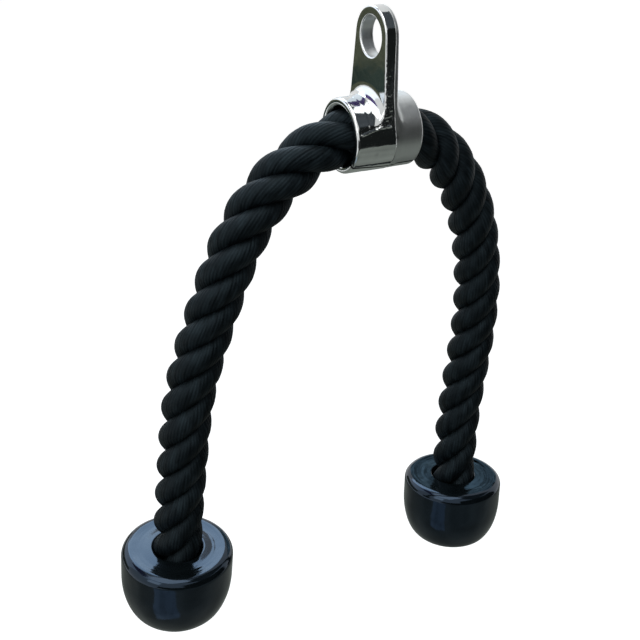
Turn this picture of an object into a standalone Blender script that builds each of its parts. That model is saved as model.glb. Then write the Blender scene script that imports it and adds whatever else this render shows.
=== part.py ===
"""Triceps rope attachment: a cast clamp with an eye, a thick laid rope through its collar, and a rubber cap on each end.

Metres, +Z up. The origin is the centre of the clamp's eye, which hangs on a cable machine's hook.
The collar and the rope in it run along X. The left leg hangs in the plane Y = 0, and the right one bows back from it.
"""

import math

import bmesh
import bpy
import numpy as np
from mathutils import Matrix, Vector

MM = 0.001

# Rope
ROPE_DIAMETER = 28.0 * MM
ROPE_SIDES_SETTING = 4
ROPE_POINT_STEP = 13.0 * MM
ROPE_END_RUN = 5.0 * MM
ROPE_DIRECTION_REACH = 0.5 * MM

# Each leg's centreline, chosen by hand: how far out from the collar's mouth, below its axis, and back.
LEFT_ROUTE = [
    (0.0, 0.0008, 0.0),
    (0.0178, 0.0079, 0.0),
    (0.0340, 0.0188, 0.0),
    (0.0474, 0.0330, 0.0),
    (0.0577, 0.0496, 0.0),
    (0.0656, 0.0676, 0.0),
    (0.0725, 0.0859, 0.0),
    (0.0789, 0.1042, 0.0),
    (0.0846, 0.1229, 0.0),
    (0.0888, 0.1419, 0.0),
    (0.0914, 0.1613, 0.0),
    (0.0935, 0.1807, 0.0),
    (0.0956, 0.2002, 0.0),
    (0.0972, 0.2184, 0.0),
    (0.0984, 0.2367, 0.0),
]
RIGHT_ROUTE = [
    (0.0, 0.0008, 0.0),
    (0.0172, 0.0095, 0.0002),
    (0.0319, 0.0231, 0.0009),
    (0.0439, 0.0396, 0.0018),
    (0.0532, 0.0578, 0.0028),
    (0.0601, 0.0771, 0.0040),
    (0.0650, 0.0972, 0.0051),
    (0.0680, 0.1174, 0.0061),
    (0.0691, 0.1377, 0.0068),
    (0.0687, 0.1579, 0.0073),
    (0.0674, 0.1778, 0.0074),
    (0.0660, 0.1974, 0.0071),
    (0.0650, 0.2165, 0.0062),
    (0.0645, 0.2351, 0.0048),
    (0.0636, 0.2529, 0.0028),
]

# Where each leg's stretches end and where it bends, measured along the rope from the collar's mouth
NECK_PIVOT_ALONG = 45.0 * MM
NECK_LENGTH = 98.0 * MM
UPPER_LENGTH = 80.0 * MM

# Clamp casting
EYE_TO_ROPE = 49.5 * MM
EYE_HOLE_DIAMETER = 20.0 * MM
EYE_WALL = 5.0 * MM
EYE_EDGE_ROUND = 1.0 * MM
LUG_THICKNESS = 8.0 * MM
LUG_FILLET = 7.0 * MM
LUG_SINK = 0.3 * MM
COLLAR_LENGTH = 40.0 * MM
COLLAR_WALL = 5.25 * MM
MOUTH_WALL = 2.4 * MM
MOUTH_FLARE_LENGTH = 10.0 * MM
MOUTH_LIP_ROUND = 1.0 * MM
SPLIT_WIDTH = 0.6 * MM
SPLIT_ANGLE = math.radians(-128.0)

# End caps
CAP_DIAMETER = 66.0 * MM
CAP_HEIGHT = 46.0 * MM
CAP_SHOULDER_ROUND = 5.5 * MM
CAP_STRAIGHT_SIDE = 12.0 * MM
CAP_BASE_DIAMETER = 40.0 * MM
CAP_LIP_ROUND = 1.2 * MM
RECESS_DIAMETER = 36.0 * MM

# Pieces inside the caps
CRIMPED_ROPE_DIAMETER = 22.0 * MM
CRIMP_TAPER_LENGTH = 3.0 * MM
WASHER_THICKNESS = 2.0 * MM
FERRULE_WALL = 2.0 * MM
FERRULE_LENGTH = 12.0 * MM
FERRULE_GROOVE_DEPTH = 0.6 * MM
FERRULE_GROOVE_WIDTH = 2.4 * MM
FERRULE_GROOVE_SHARES = (0.3, 0.7)
PLUG_THICKNESS = 5.0 * MM
PLUG_EDGE_ROUND = 0.8 * MM
ROPE_END_OVERHANG = 0.6 * MM

# Fits
TOUCH_GAP = 0.3 * MM
ROPE_GRIP_CLEARANCE = 0.35 * MM
CAP_BORE_CLEARANCE = 0.5 * MM
SEAT_CLEARANCE = 0.4 * MM
PLUG_CLEARANCE = 1.8 * MM
CUT_OVERRUN = 5.0 * MM

# Fineness of the round shapes
ROUND_STEPS = 64
CAP_STEPS = 56
SMALL_STEPS = 40
ARC_STEPS = 6
BOWL_STEPS = 9
FILLET_STEPS = 7
ROUTE_STEPS = 24
SMOOTH_BELOW = math.radians(32.0)

LEG_PIVOT_ALONG = NECK_LENGTH + UPPER_LENGTH / 2
ROPE_RADIUS = ROPE_DIAMETER / 2
GRIP_RADIUS = ROPE_RADIUS + ROPE_GRIP_CLEARANCE
COLLAR_RADIUS = GRIP_RADIUS + COLLAR_WALL
MOUTH_RADIUS = COLLAR_RADIUS - MOUTH_WALL
EYE_HOLE_RADIUS = EYE_HOLE_DIAMETER / 2
EYE_RADIUS = EYE_HOLE_RADIUS + EYE_WALL
CRIMPED_RADIUS = CRIMPED_ROPE_DIAMETER / 2
RECESS_RADIUS = RECESS_DIAMETER / 2
CAP_RADIUS = CAP_DIAMETER / 2
CAP_BASE_RADIUS = CAP_BASE_DIAMETER / 2
CRIMPED_LENGTH = 2 * TOUCH_GAP + WASHER_THICKNESS + FERRULE_LENGTH + ROPE_END_OVERHANG
RECESS_DEPTH = CRIMPED_LENGTH + PLUG_CLEARANCE + PLUG_THICKNESS
CAP_WEB = CAP_HEIGHT - RECESS_DEPTH


def clear_scene():
    for obj in list(bpy.data.objects):
        bpy.data.objects.remove(obj)


def make_material(name, colour, roughness, metallic):
    material = bpy.data.materials.new(name)
    material.use_nodes = True
    shader = material.node_tree.nodes["Principled BSDF"]
    shader.inputs["Base Color"].default_value = (*colour, 1.0)
    shader.inputs["Roughness"].default_value = roughness
    shader.inputs["Metallic"].default_value = metallic
    material.diffuse_color = (*colour, 1.0)
    return material


def place(obj, parent=None, material=None):
    bpy.context.scene.collection.objects.link(obj)
    obj.parent = parent
    if material:
        obj.data.materials.append(material)
    return obj


def mesh_object(name, bm, parent=None, material=None):
    bmesh.ops.recalc_face_normals(bm, faces=bm.faces)
    mesh = bpy.data.meshes.new(name)
    bm.to_mesh(mesh)
    bm.free()
    mesh.shade_smooth()
    mesh.set_sharp_from_angle(angle=SMOOTH_BELOW)
    return place(bpy.data.objects.new(name, mesh), parent, material)


def as_cutter(obj):
    obj.hide_render = True
    obj.display_type = "WIRE"
    return obj


def arc(centre, radius, start, end, steps):
    """Points on an arc, both ends included; angles in degrees, radius one number or one for each axis."""
    wide, high = radius if isinstance(radius, tuple) else (radius, radius)
    return [
        (
            centre[0] + wide * math.cos(math.radians(start + (end - start) * i / steps)),
            centre[1] + high * math.sin(math.radians(start + (end - start) * i / steps)),
        )
        for i in range(steps + 1)
    ]


def turned(name, profile, steps, along_x=False, parent=None, material=None):
    """A profile of (radius, height) points, spun round the Z axis, or round the X axis.

    It is closed into a ring, unless it starts and ends on the axis.
    """
    bm = bmesh.new()
    ring = [bm.verts.new((radius, 0.0, height)) for radius, height in profile]
    after = ring[1:] if profile[0][0] == 0 else ring[1:] + ring[:1]
    edges = [bm.edges.new(pair) for pair in zip(ring, after)]
    bmesh.ops.spin(
        bm,
        geom=ring + edges,
        cent=(0.0, 0.0, 0.0),
        axis=(0.0, 0.0, 1.0),
        angle=2 * math.pi,
        steps=steps,
        use_merge=True,
    )
    on_axis = [v for v in bm.verts if math.hypot(v.co.x, v.co.y) < MM / 1000]
    bmesh.ops.remove_doubles(bm, verts=on_axis, dist=MM / 1000)
    if along_x:
        bmesh.ops.rotate(bm, verts=bm.verts, matrix=Matrix.Rotation(math.pi / 2, 3, "Y"))
    return mesh_object(name, bm, parent, material)


def add_boolean(obj, cutter, operation):
    modifier = obj.modifiers.new(cutter.name, "BOOLEAN")
    modifier.operation = operation
    modifier.solver = "MANIFOLD"
    modifier.object = cutter


# The clamp casting


def lug_outline():
    """Half the lug's outline, as (Y, Z) points from its top to the rope's axis: the eye, then a line to the collar."""
    low_radius = COLLAR_RADIUS - LUG_SINK
    lean = math.degrees(math.asin((low_radius - EYE_RADIUS) / EYE_TO_ROPE))
    eye = arc((0.0, 0.0), EYE_RADIUS, 90.0, lean, ROUND_STEPS // 4)
    foot = arc((0.0, -EYE_TO_ROPE), low_radius, lean, 0.0, ARC_STEPS // 2)
    return eye + foot


def make_lug_plate(material):
    """The lug as a thick plate of its outline, wide enough along X for the fillets to be cut from it."""
    half = lug_outline()
    outline = half + [(-y, z) for y, z in reversed(half[1:])]
    reach = LUG_THICKNESS / 2 + LUG_FILLET + CUT_OVERRUN
    bm = bmesh.new()
    face = bm.faces.new([bm.verts.new((-reach, y, z)) for y, z in outline])
    pushed = bmesh.ops.extrude_face_region(bm, geom=[face])["geom"]
    moved = [item for item in pushed if isinstance(item, bmesh.types.BMVert)]
    bmesh.ops.translate(bm, verts=moved, vec=(2 * reach, 0.0, 0.0))
    return mesh_object("clamp_casting", bm, material=material)


def make_lug_fillet_form():
    """A disc round the rope's axis, as thick as the lug, with a fillet down to the collar on both faces."""
    half = LUG_THICKNESS / 2
    rim = EYE_TO_ROPE + EYE_RADIUS + CUT_OVERRUN
    centre = (COLLAR_RADIUS - LUG_SINK + LUG_FILLET, half + LUG_FILLET)
    fillet = arc(centre, LUG_FILLET, 180.0, 270.0, FILLET_STEPS)
    one_face = [(0.0, half + LUG_FILLET)] + fillet + [(rim, half)]
    profile = one_face + [(radius, -x) for radius, x in reversed(one_face)]
    form = turned("lug_fillet_form", profile, ROUND_STEPS * 2, along_x=True)
    form.location.z = -EYE_TO_ROPE
    return as_cutter(form)


def make_collar_form():
    """The collar's outside, solid, with rounded lips."""
    half = COLLAR_LENGTH / 2
    centre = (COLLAR_RADIUS - MOUTH_LIP_ROUND, half - MOUTH_LIP_ROUND)
    lip = arc(centre, MOUTH_LIP_ROUND, 90.0, 0.0, ARC_STEPS // 2)
    one_end = [(0.0, half)] + lip
    profile = one_end + [(radius, -x) for radius, x in reversed(one_end)]
    form = turned("collar_form", profile, ROUND_STEPS, along_x=True)
    form.location.z = -EYE_TO_ROPE
    return as_cutter(form)


def make_rope_bore_cutter():
    """The collar's bore, tight in the middle and flared like a bell at both mouths."""
    half = COLLAR_LENGTH / 2
    flare = (MOUTH_RADIUS - GRIP_RADIUS, MOUTH_FLARE_LENGTH + LUG_SINK)
    bell = arc((MOUTH_RADIUS, half - MOUTH_FLARE_LENGTH), flare, 180.0, 90.0, ARC_STEPS)
    one_end = [(0.0, half + CUT_OVERRUN), (MOUTH_RADIUS, half + CUT_OVERRUN)] + bell[::-1]
    profile = one_end + [(radius, -x) for radius, x in reversed(one_end)]
    cutter = turned("rope_bore_cutter", profile, ROUND_STEPS, along_x=True)
    cutter.location.z = -EYE_TO_ROPE
    return as_cutter(cutter)


def make_eye_cutter():
    """The eye's hole, with rounded edges on both faces of the lug."""
    half = LUG_THICKNESS / 2
    centre = (EYE_HOLE_RADIUS + EYE_EDGE_ROUND, half - EYE_EDGE_ROUND)
    edge = arc(centre, EYE_EDGE_ROUND, 180.0, 90.0, ARC_STEPS // 2)
    over = half + CUT_OVERRUN
    one_end = [(0.0, over), (EYE_HOLE_RADIUS + EYE_EDGE_ROUND, over)] + edge[::-1]
    profile = one_end + [(radius, -x) for radius, x in reversed(one_end)]
    return as_cutter(turned("eye_cutter", profile, SMALL_STEPS, along_x=True))


def make_split_cutter():
    """A thin slab from inside the bore to outside the collar, where the strap's two edges were crimped together."""
    bm = bmesh.new()
    bmesh.ops.create_cube(bm, size=1.0)
    deep = COLLAR_WALL + MOUTH_WALL + CUT_OVERRUN
    size = (COLLAR_LENGTH + CUT_OVERRUN, deep, SPLIT_WIDTH)
    bmesh.ops.scale(bm, verts=bm.verts, vec=size)
    middle = COLLAR_RADIUS - COLLAR_WALL / 2
    bmesh.ops.translate(bm, verts=bm.verts, vec=(0.0, middle, 0.0))
    cutter = mesh_object("split_cutter", bm)
    cutter.rotation_euler.x = SPLIT_ANGLE
    cutter.location.z = -EYE_TO_ROPE
    return as_cutter(cutter)


def make_clamp(material):
    casting = make_lug_plate(material)
    add_boolean(casting, make_lug_fillet_form(), "INTERSECT")
    add_boolean(casting, make_collar_form(), "UNION")
    add_boolean(casting, make_rope_bore_cutter(), "DIFFERENCE")
    add_boolean(casting, make_eye_cutter(), "DIFFERENCE")
    add_boolean(casting, make_split_cutter(), "DIFFERENCE")
    return casting


# The rope


class Leg:
    """One leg's centreline: a smooth curve through its route, read by length along the rope from the collar's mouth."""

    def __init__(self, side, route):
        grip_end = COLLAR_LENGTH / 2 - MOUTH_FLARE_LENGTH
        mouth = Vector((side * COLLAR_LENGTH / 2, 0.0, -EYE_TO_ROPE))
        inside = [Vector((0.0, 0.0, -EYE_TO_ROPE)), Vector((side * grip_end, 0.0, -EYE_TO_ROPE))]
        outside = [mouth + Vector((side * out, back, -down)) for out, down, back in route]
        guide = inside + outside
        guide.append(2 * guide[-1] - guide[-2])
        self.points = np.array(list(smooth_line(guide)))
        steps = np.linalg.norm(np.diff(self.points, axis=0), axis=1)
        self.along = np.concatenate([[0.0], np.cumsum(steps)])
        nearest = np.linalg.norm(self.points - np.array(outside[0]), axis=1).argmin()
        self.along -= self.along[nearest]
        self.start = -MOUTH_FLARE_LENGTH
        self.end = self.along[-1]

    def point(self, along):
        return Vector([np.interp(along, self.along, self.points[:, axis]) for axis in range(3)])

    def direction(self, along):
        step = ROPE_DIRECTION_REACH
        low = max(along - step, self.along[0])
        high = min(along + step, self.end)
        return (self.point(high) - self.point(low)).normalized()

    def stretch(self, start, end):
        """Points along the leg from start to end, with a straight run at each end so that its faces are square."""
        count = max(1, round((end - start - 2 * ROPE_END_RUN) / ROPE_POINT_STEP))
        inner = np.linspace(start + ROPE_END_RUN, end - ROPE_END_RUN, count + 1)[1:-1]
        first, last = self.point(start), self.point(end)
        run_in = first + self.direction(start) * ROPE_END_RUN
        run_out = last - self.direction(end) * ROPE_END_RUN
        return [first, run_in] + [self.point(along) for along in inner] + [run_out, last]


def smooth_line(guide):
    """A Catmull-Rom curve through the guide's points, from the first to the last but one."""
    before = [2 * guide[0] - guide[1]] + guide
    for a, b, c, d in zip(before, before[1:], before[2:], before[3:]):
        for i in range(ROUTE_STEPS):
            t = i / ROUTE_STEPS
            yield (
                b * 2
                + (c - a) * t
                + (a * 2 - b * 5 + c * 4 - d) * t**2
                + (b * 3 - a - c * 3 + d) * t**3
            ) / 2
    yield guide[-2]


def tube(name, points, origin, parent, material, radii=None):
    """A round tube through the points, with its origin at the given place."""
    curve = bpy.data.curves.new(name, "CURVE")
    curve.dimensions = "3D"
    curve.bevel_depth = ROPE_RADIUS
    curve.bevel_resolution = ROPE_SIDES_SETTING
    curve.use_fill_caps = True
    spline = curve.splines.new("POLY")
    spline.points.add(len(points) - 1)
    for i, point in enumerate(points):
        spline.points[i].co = (*(point - origin), 1.0)
        spline.points[i].radius = radii[i] if radii else 1.0
    spline.use_smooth = True
    return place(bpy.data.objects.new(name, curve), parent, material)


def joint_empty(name, position, parent):
    """An empty on a joint's axis, which carries what the joint moves."""
    empty = place(bpy.data.objects.new(name, None), parent)
    empty.location = position - (parent.matrix_world.translation if parent else Vector())
    bpy.context.view_layer.update()
    return empty


# The end fitting


def make_cap(name, parent, material):
    """The rubber cap, its top face at height 0: flat top, round shoulder, bowl below, bore and recess inside."""
    bore = ROPE_RADIUS + CAP_BORE_CLEARANCE
    side_end = -(CAP_SHOULDER_ROUND + CAP_STRAIGHT_SIDE)
    bowl_wide = CAP_RADIUS - CAP_BASE_RADIUS
    bowl_high = CAP_HEIGHT + side_end
    lip = arc((bore + CAP_LIP_ROUND, -CAP_LIP_ROUND), CAP_LIP_ROUND, 180.0, 90.0, ARC_STEPS // 2)
    shoulder_centre = (CAP_RADIUS - CAP_SHOULDER_ROUND, -CAP_SHOULDER_ROUND)
    shoulder = arc(shoulder_centre, CAP_SHOULDER_ROUND, 90.0, 0.0, ARC_STEPS)
    bowl = arc((CAP_BASE_RADIUS, side_end), (bowl_wide, bowl_high), 0.0, -90.0, BOWL_STEPS)
    recess = [(RECESS_RADIUS, -CAP_HEIGHT), (RECESS_RADIUS, -CAP_WEB), (bore, -CAP_WEB)]
    return turned(name, lip + shoulder + bowl + recess, CAP_STEPS, parent=parent, material=material)


def make_washer(name, top, parent, material):
    inner = CRIMPED_RADIUS + TOUCH_GAP
    outer = RECESS_RADIUS - SEAT_CLEARANCE
    low = top - WASHER_THICKNESS
    profile = [(inner, top), (outer, top), (outer, low), (inner, low)]
    return turned(name, profile, SMALL_STEPS, parent=parent, material=material)


def make_ferrule(name, top, parent, material):
    """A short tube round the rope's end, with two grooves where the crimping jaws pressed."""
    inner = CRIMPED_RADIUS + TOUCH_GAP
    outer = inner + FERRULE_WALL
    waist = outer - FERRULE_GROOVE_DEPTH
    low = top - FERRULE_LENGTH
    outside = [(outer, top)]
    for share in FERRULE_GROOVE_SHARES:
        middle = top - FERRULE_LENGTH * share
        reach = FERRULE_GROOVE_WIDTH / 2
        outside += [(outer, middle + reach), (waist, middle + reach / 2)]
        outside += [(waist, middle - reach / 2), (outer, middle - reach)]
    outside.append((outer, low))
    profile = [(inner, top)] + outside + [(inner, low)]
    return turned(name, profile, SMALL_STEPS, parent=parent, material=material)


def make_plug(name, parent, material):
    outer = RECESS_RADIUS - SEAT_CLEARANCE
    top = PLUG_THICKNESS - CAP_HEIGHT
    edge_centre = (outer - PLUG_EDGE_ROUND, PLUG_EDGE_ROUND - CAP_HEIGHT)
    edge = arc(edge_centre, PLUG_EDGE_ROUND, 0.0, -90.0, ARC_STEPS // 2)
    profile = [(0.0, top), (outer, top)] + edge + [(0.0, -CAP_HEIGHT)]
    return turned(name, profile, SMALL_STEPS, parent=parent, material=material)


def make_tail(name, end, parent, material):
    """The rope inside the cap: full size in the bore, then squeezed to the size that its ferrule holds."""
    full_end = -(CAP_WEB - CRIMP_TAPER_LENGTH)
    heights = [-TOUCH_GAP, full_end / 2, full_end, full_end - CRIMP_TAPER_LENGTH + TOUCH_GAP, end]
    small = CRIMPED_RADIUS / ROPE_RADIUS
    radii = [1.0, 1.0, 1.0, small, small]
    points = [Vector((0.0, 0.0, height)) for height in heights]
    return tube(name, points, Vector(), parent, material, radii)


def make_end_fitting(side_name, seat, materials):
    """All that sits on a leg's end. The seat is an empty at the centre of the cap's top face, +Z up the rope."""
    washer_top = -CAP_WEB - TOUCH_GAP
    ferrule_top = washer_top - WASHER_THICKNESS - TOUCH_GAP
    rope_end = ferrule_top - FERRULE_LENGTH - ROPE_END_OVERHANG
    make_cap(f"{side_name}_end_cap", seat, materials["rubber"])
    make_washer(f"{side_name}_cap_washer", washer_top, seat, materials["steel"])
    make_ferrule(f"{side_name}_crimp_ferrule", ferrule_top, seat, materials["steel"])
    make_plug(f"{side_name}_cap_plug", seat, materials["rubber"])
    make_tail(f"{side_name}_rope_tail", rope_end, seat, materials["rope"])


def make_leg(side_name, side, route, materials):
    """One leg: two bending stretches on their joints' empties, the lower stretch, and the end fitting."""
    leg = Leg(side, route)
    neck_at = leg.point(NECK_PIVOT_ALONG)
    leg_at = leg.point(LEG_PIVOT_ALONG)
    neck_joint = joint_empty(f"{side_name}_spread_axis", neck_at, None)
    leg_joint = joint_empty(f"{side_name}_swing_axis", leg_at, neck_joint)
    upper_end = NECK_LENGTH + UPPER_LENGTH
    rope = materials["rope"]
    neck_points = leg.stretch(leg.start + TOUCH_GAP, NECK_LENGTH)
    upper_points = leg.stretch(NECK_LENGTH + TOUCH_GAP, upper_end)
    lower_points = leg.stretch(upper_end + TOUCH_GAP, leg.end)
    tube(f"{side_name}_rope_neck", neck_points, neck_at, neck_joint, rope)
    tube(f"{side_name}_rope_upper", upper_points, leg_at, leg_joint, rope)
    tube(f"{side_name}_rope_lower", lower_points, leg_at, leg_joint, rope)
    seat = joint_empty(f"{side_name}_cap_seat", leg.point(leg.end), leg_joint)
    up = -leg.direction(leg.end)
    seat.rotation_euler = Vector((0.0, 0.0, 1.0)).rotation_difference(up).to_euler()
    make_end_fitting(side_name, seat, materials)


def main():
    clear_scene()
    materials = {
        "chrome": make_material("chrome_casting", (0.62, 0.64, 0.64), 0.12, 1.0),
        "rope": make_material("black_rope", (0.012, 0.014, 0.018), 0.62, 0.0),
        "rubber": make_material("gloss_rubber", (0.012, 0.014, 0.016), 0.16, 0.0),
        "steel": make_material("plated_steel", (0.55, 0.55, 0.53), 0.35, 1.0),
    }
    make_clamp(materials["chrome"])
    grip_half = COLLAR_LENGTH / 2 - MOUTH_FLARE_LENGTH
    axis = Vector((0.0, 0.0, -EYE_TO_ROPE))
    ends = [axis - Vector((grip_half, 0.0, 0.0)), axis + Vector((grip_half, 0.0, 0.0))]
    tube("rope_in_clamp", ends, Vector(), None, materials["rope"])
    make_leg("left", -1.0, LEFT_ROUTE, materials)
    make_leg("right", 1.0, RIGHT_ROUTE, materials)


main()
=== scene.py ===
"""The looks of a triceps rope attachment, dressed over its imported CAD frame."""
import math

import bmesh
import bpy
import numpy as np
from mathutils import Matrix, Vector, noise


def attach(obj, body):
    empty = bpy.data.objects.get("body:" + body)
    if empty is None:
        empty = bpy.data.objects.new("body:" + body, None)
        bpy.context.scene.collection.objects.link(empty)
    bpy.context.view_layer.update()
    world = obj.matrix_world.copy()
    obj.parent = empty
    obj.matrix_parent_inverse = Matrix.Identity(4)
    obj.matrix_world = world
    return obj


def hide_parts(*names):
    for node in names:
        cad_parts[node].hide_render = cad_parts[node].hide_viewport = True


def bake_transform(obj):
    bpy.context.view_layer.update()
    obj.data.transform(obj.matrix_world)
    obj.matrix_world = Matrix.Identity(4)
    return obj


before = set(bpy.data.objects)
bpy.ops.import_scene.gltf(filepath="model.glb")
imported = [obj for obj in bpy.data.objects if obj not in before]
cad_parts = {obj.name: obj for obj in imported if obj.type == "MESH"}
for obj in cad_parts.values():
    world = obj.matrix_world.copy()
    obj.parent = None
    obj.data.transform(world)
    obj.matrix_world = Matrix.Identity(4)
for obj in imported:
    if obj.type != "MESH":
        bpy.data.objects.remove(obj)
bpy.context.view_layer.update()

MM = 0.001
UP = Vector((0.0, 0.0, 1.0))
ACROSS = Vector((0.0, 1.0, 0.0))
FULL_TURN = 2 * math.pi

# The photograph's camera
IMAGE_WIDTH = 640.0
FOCAL_LENGTH_PX = 950.0
SENSOR_WIDTH_MM = 36.0
CAMERA_AT = Vector((-0.2595, -0.4151, 0.0980))
CAMERA_YAW = math.radians(29.21)
CAMERA_PITCH = math.radians(28.09)
CAMERA_ROLL = math.radians(1.95)
NEAREST_SEEN = 0.01
FARTHEST_SEEN = 50.0

# The rope, with the same route points as the CAD: how far out, down and back from the collar's mouth
STRANDS = 3
STRAND_RADIUS = 6.8 * MM
STRAND_OFFSET = 7.6 * MM
STRAND_UNEVENNESS = 0.25 * MM
YARNS_PER_STRAND = 20
POINTS_PER_YARN = 5
YARN_RIDGE = 0.22 * MM
YARN_UNEVENNESS = 0.10 * MM
YARN_TWIST = -2.4
YARN_COUNT_GUARD = 0.001
RING_SPACING = 1.0 * MM
ROUTE_SPACING = 2.0 * MM
ROUTE_STEPS = 24
SEAT_PROBE = 0.5 * MM
GRIPPED_SHARE = 0.97
GRIP_EASE = 15.0 * MM
TURN_MARKS = [0.0, 80.0 * MM, 160.0 * MM, 240.0 * MM]
LEFT_TURNS = [0.4807, 1.7276, 3.1140, 4.5235]
RIGHT_TURNS = [0.2600, 1.6328, 3.0317, 4.3831]
LEFT_ROUTE = [
    (0.0, 0.0008, 0.0), (0.0178, 0.0079, 0.0), (0.0340, 0.0188, 0.0),
    (0.0474, 0.0330, 0.0), (0.0577, 0.0496, 0.0), (0.0656, 0.0676, 0.0),
    (0.0725, 0.0859, 0.0), (0.0789, 0.1042, 0.0), (0.0846, 0.1229, 0.0),
    (0.0888, 0.1419, 0.0), (0.0914, 0.1613, 0.0), (0.0935, 0.1807, 0.0),
    (0.0956, 0.2002, 0.0), (0.0972, 0.2184, 0.0), (0.0984, 0.2367, 0.0),
]
RIGHT_ROUTE = [
    (0.0, 0.0008, 0.0), (0.0172, 0.0095, 0.0002), (0.0319, 0.0231, 0.0009),
    (0.0439, 0.0396, 0.0018), (0.0532, 0.0578, 0.0028), (0.0601, 0.0771, 0.0040),
    (0.0650, 0.0972, 0.0051), (0.0680, 0.1174, 0.0061), (0.0691, 0.1377, 0.0068),
    (0.0687, 0.1579, 0.0073), (0.0674, 0.1778, 0.0074), (0.0660, 0.1974, 0.0071),
    (0.0650, 0.2165, 0.0062), (0.0645, 0.2351, 0.0048), (0.0636, 0.2529, 0.0028),
]
NECK_LENGTH = 98.0 * MM
NECK_BEND_START = 4.0 * MM
NECK_BEND_END = 88.0 * MM
LEG_BEND_START = 106.0 * MM
LEG_BEND_END = 174.0 * MM

# The clamp casting
EYE_TO_ROPE = 49.5 * MM
EYE_HOLE_RADIUS = 10.0 * MM
EYE_RADIUS = 15.0 * MM
EYE_EDGE_ROUND = 1.0 * MM
LUG_HALF = 4.0 * MM
LUG_EDGE_ROUND = 0.9 * MM
LUG_FILLET = 7.0 * MM
LUG_FILLET_TRIM = 1.0 * MM
LUG_SINK = 0.3 * MM
FOOT_BLEND = 0.8 * MM
COLLAR_RADIUS = 19.6 * MM
COLLAR_HALF = 20.0 * MM
COLLAR_LIP_ROUND = 1.5 * MM
GRIP_RADIUS = 14.35 * MM
GRIP_HALF = 10.0 * MM
MOUTH_RADIUS = 17.2 * MM
MOUTH_FLARE = 10.3 * MM
MOUTH_FLARE_LIMIT = 0.999
MOUTH_EDGE_ROUND = 0.6 * MM

# The casting's parting line, and the crease at the lug's foot
PARTING_HEIGHTS = [-60.0 * MM, -42.0 * MM, -25.0 * MM, 0.0]
PARTING_PLACES = [3.8 * MM, 2.3 * MM, 1.2 * MM, 1.8 * MM]
PARTING_WIDTH = 0.4 * MM
PARTING_FLASH = 0.10 * MM
MOULD_SHIFT = 0.40 * MM
RIDGE_ENDS = [-18.7 * MM, -5.9 * MM]
RIDGE_ANGLES = [math.radians(14.4), math.radians(23.2)]
RIDGE_STOP = 1.0 * MM
RIDGE_FADE = 2.0 * MM
RIDGE_WIDTH = 0.5 * MM
RIDGE_HEIGHT = 0.52 * MM

# Where the casting was left rough. FACING, LEFT, BELOW, ABOVE: where it starts, and over how much
ROUGH_FACING = (0.55, 0.3)
ROUGH_LEFT = (0.2 * MM, 0.8 * MM)
ROUGH_BELOW = (6.0 * MM, 10.0 * MM)
ROUGH_ABOVE = (-43.5 * MM, 1.5 * MM)
ROUGH_HEIGHTS = [-44.0 * MM, -38.0 * MM, -30.0 * MM]
ROUGH_REACHES = [12.0 * MM, 6.0 * MM, 5.0 * MM]
ROUGH_REACH_EASE = 1.5 * MM
CAST_BUMP = 0.30 * MM
CAST_BUMP_SIZE = 1.1 * MM
CAST_BUMP_LAYERS = (0.8, 2.0, 3)

# Where its plating is satin: right of the parting line and in the eye
SATIN_EASE = 1.0 * MM
EYE_SATIN_MARGIN = 0.3 * MM

# The crimped split, as places along the collar and round it
SPLIT_WIDTH = 0.9 * MM
SPLIT_ANGLE = math.radians(-133.0)
SPLIT_INNER = GRIP_RADIUS - 2.0 * MM
SPLIT_OUTER = COLLAR_RADIUS + 3.0 * MM
SPLIT_SHADE = 0.80 * MM
SPLIT_LINE = [(-25.0 * MM, -2.6 * MM), (7.0 * MM, 1.5 * MM), (8.0 * MM, 0.0), (25.0 * MM, -0.3 * MM)]

# How the casting's surface is found
CASTING_CELL = 0.46 * MM
CASTING_MARGIN = 1.5 * MM
CASTING_ROUNDS = 3
CASTING_SHARP_ANGLE = math.radians(45.0)
SLOPE_REACH = 0.02 * MM
LEAST_SLOPE = 0.05
LONGEST_PULL = 0.3 * MM

# The end fittings
CAP_RADIUS = 33.0 * MM
CAP_HEIGHT = 46.0 * MM
CAP_SHOULDER_ROUND = 5.5 * MM
CAP_STRAIGHT_SIDE = 12.0 * MM
CAP_BASE_RADIUS = 20.0 * MM
CAP_BORE_RADIUS = 14.5 * MM
CAP_LIP_ROUND = 1.2 * MM
CAP_DISH = 0.35 * MM
CAP_WEB = 24.0 * MM
CAP_STEPS_ROUND = 144
CAP_SHARP_ANGLE = math.radians(50.0)
CAP_WOBBLE = 0.22 * MM
CAP_WOBBLE_SIZE = 13.0 * MM
CAP_WOBBLE_EASE = 4.0 * MM
CAP_RIPPLE = 0.07 * MM
CAP_RIPPLE_WIDTH = 1.5 * MM
CAP_RIPPLE_TURN = 1.3
CAP_FLAT_FROM = 0.8
CAP_FLAT_EASE = 0.2
CAP_SEED_SPREAD = 40
CAP_SEED = (3.0, 5.0)
RECESS_RADIUS = 18.0 * MM
CRIMP_TAPER = 3.0 * MM
TAIL_LENGTH = 39.2 * MM
CRIMPED_SHARE = 22.0 / 28.0

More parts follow.
